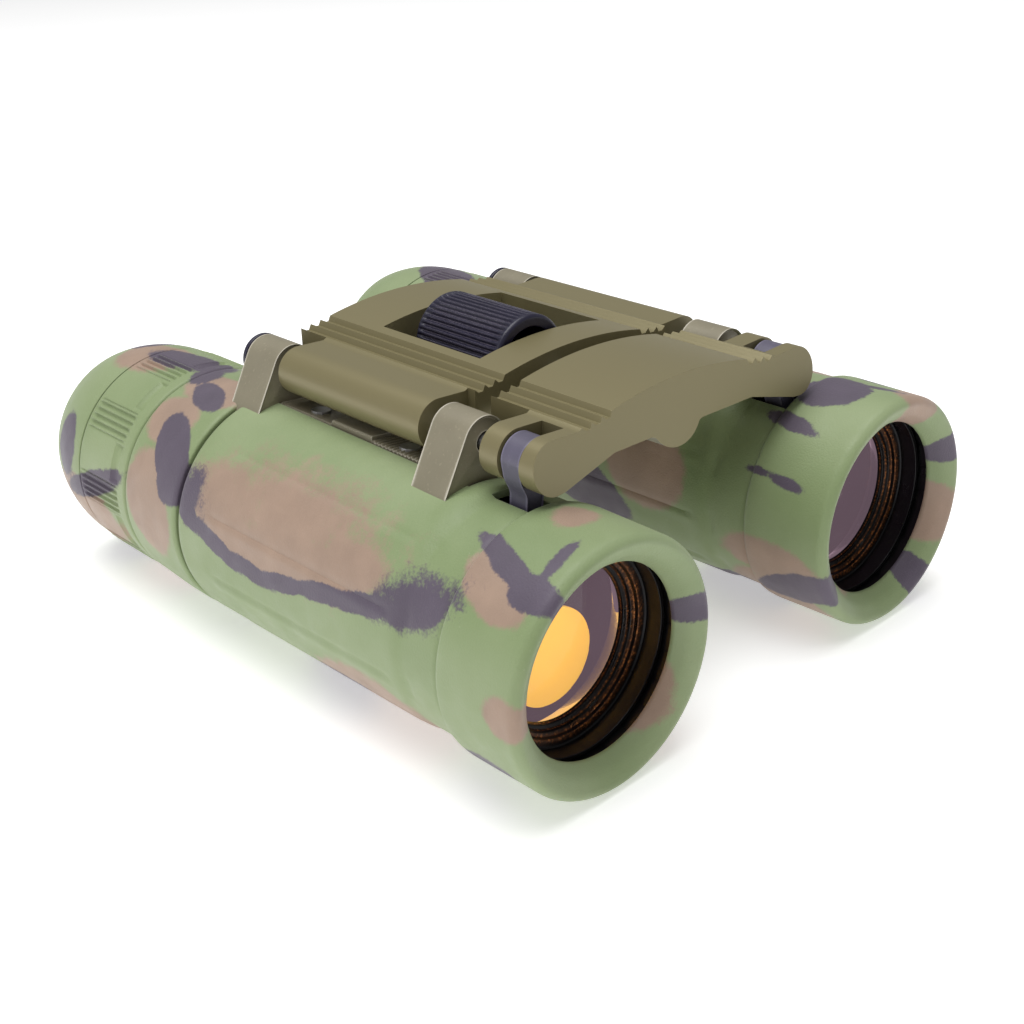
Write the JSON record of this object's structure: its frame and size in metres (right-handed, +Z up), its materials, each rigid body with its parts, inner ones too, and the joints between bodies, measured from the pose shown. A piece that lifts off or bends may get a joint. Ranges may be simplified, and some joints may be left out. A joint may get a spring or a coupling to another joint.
{
  "type": "compact binoculars",
  "caption": "Folding pocket binoculars: roof-prism barrels in camouflage armour on a double-hinge bridge, with a ribbed focusing wheel, grip rings and rubber eyecups.",
  "frame": {"origin": "on the table, under the middle of the whole, with both barrels lying on it", "axes": "+Z up, -Y the way the objectives look, +X towards the user's left barrel"},
  "size_m": [0.0834, 0.1026, 0.0426],
  "materials": {
    "green_rubber": "matte, camouflage print",
    "green_plastic": "matte, camouflage print",
    "olive_paint": "satin",
    "dark_rubber": "ribbed, satin",
    "purple_plastic": "speckled",
    "black_plastic": "matte",
    "black_metal": "matte",
    "steel": "ground",
    "brass": "machined",
    "glass": "coated"
  },
  "bodies": {
    "bridge": {"rear_bridge": "olive_paint"},
    "front_bridge": {"front_bridge": "olive_paint", "focus_nut": "brass", "right_guide_pin": "steel", "left_guide_pin": "steel"},
    "focus_wheel": {"focus_wheel": "dark_rubber", "focus_screw": "steel", "focus_screw_clip": "steel"},
    "right_barrel": {"right_barrel_tube": "black_plastic", "right_hinge_saddle": "olive_paint", "right_saddle_screw_front": "steel", "right_saddle_screw_rear": "steel", "right_pin_cap": "dark_rubber", "right_armour": "green_rubber", "right_hood": "green_rubber", "right_prism_mask": "black_plastic", "right_prism_cage": "black_plastic", "right_front_prism": "glass", "right_roof_prism": "glass", "right_eyepiece_housing": "green_plastic"},
    "left_barrel": {"left_barrel_tube": "black_plastic", "left_hinge_saddle": "olive_paint", "left_saddle_screw_front": "steel", "left_saddle_screw_rear": "steel", "left_pin_cap": "dark_rubber", "left_armour": "green_rubber", "left_hood": "green_rubber", "left_prism_mask": "black_plastic", "left_prism_cage": "black_plastic", "left_front_prism": "glass", "left_roof_prism": "glass", "left_eyepiece_housing": "green_plastic", "left_grip_ring": "green_plastic", "left_eyecup": "green_rubber", "left_eyepiece_cell": "black_plastic", "left_field_stop": "black_metal", "left_field_lens": "glass", "left_eye_lens": "glass", "left_eye_lens_ring": "black_metal"},
    "right_objective": {"right_focus_carrier": "black_plastic", "right_focus_arm": "purple_plastic", "right_objective_lens": "glass", "right_objective_ring": "black_metal"},
    "left_objective": {"left_focus_carrier": "black_plastic", "left_focus_arm": "purple_plastic", "left_objective_lens": "glass", "left_objective_ring": "black_metal"},
    "right_dioptre": {"right_grip_ring": "green_plastic", "right_eyecup": "green_rubber"},
    "right_eyepiece": {"right_eyepiece_cell": "black_plastic", "right_field_stop": "black_metal", "right_field_lens": "glass", "right_eye_lens": "glass", "right_eye_lens_ring": "black_metal"}
  },
  "joints": [
    {"name": "right_hinge", "type": "hinge", "parent": "bridge", "child": "right_barrel", "pos_m": [-0.02373, 0, 0.03563], "axis": [0, 1, 0], "range_deg": [-19.9, 41.1]},
    {"name": "left_hinge", "type": "hinge", "parent": "bridge", "child": "left_barrel", "pos_m": [0.01926, 0, 0.03461], "axis": [0, -1, 0], "range_deg": [-35.8, 25.2]},
    {"name": "focus_turn", "type": "hinge", "parent": "bridge", "child": "focus_wheel", "pos_m": [-0.0037, -0.0071, 0.03656], "axis": [0, 1, 0], "range_deg": [-144.1, 216.1]},
    {"name": "front_bridge_slide", "type": "slide", "parent": "bridge", "child": "front_bridge", "axis": [0, 1, 0], "range_m": [-0.0012, 0.0018]},
    {"name": "right_focus_slide", "type": "slide", "parent": "right_barrel", "child": "right_objective", "axis": [0, 1, 0], "range_m": [-0.00121, 0.00181]},
    {"name": "left_focus_slide", "type": "slide", "parent": "left_barrel", "child": "left_objective", "axis": [0, 1, 0], "range_m": [-0.00121, 0.00181]},
    {"name": "dioptre_turn", "type": "hinge", "parent": "right_barrel", "child": "right_dioptre", "pos_m": [-0.0259, 0.04, 0.0158], "axis": [0, 1, 0], "range_deg": [-60.1, 60.1]},
    {"name": "right_eyepiece_slide", "type": "slide", "parent": "right_barrel", "child": "right_eyepiece", "axis": [0, 1, 0], "range_m": [-0.0006, 0.0006]}
  ],
  "couplings": [
    {"joint": "focus_turn", "follows": "front_bridge_slide", "rad_per_m": 2094.4},
    {"joint": "right_focus_slide", "follows": "front_bridge_slide", "ratio": 1},
    {"joint": "left_focus_slide", "follows": "front_bridge_slide", "ratio": 1},
    {"joint": "dioptre_turn", "follows": "right_eyepiece_slide", "rad_per_m": 1745.3}
  ]
}
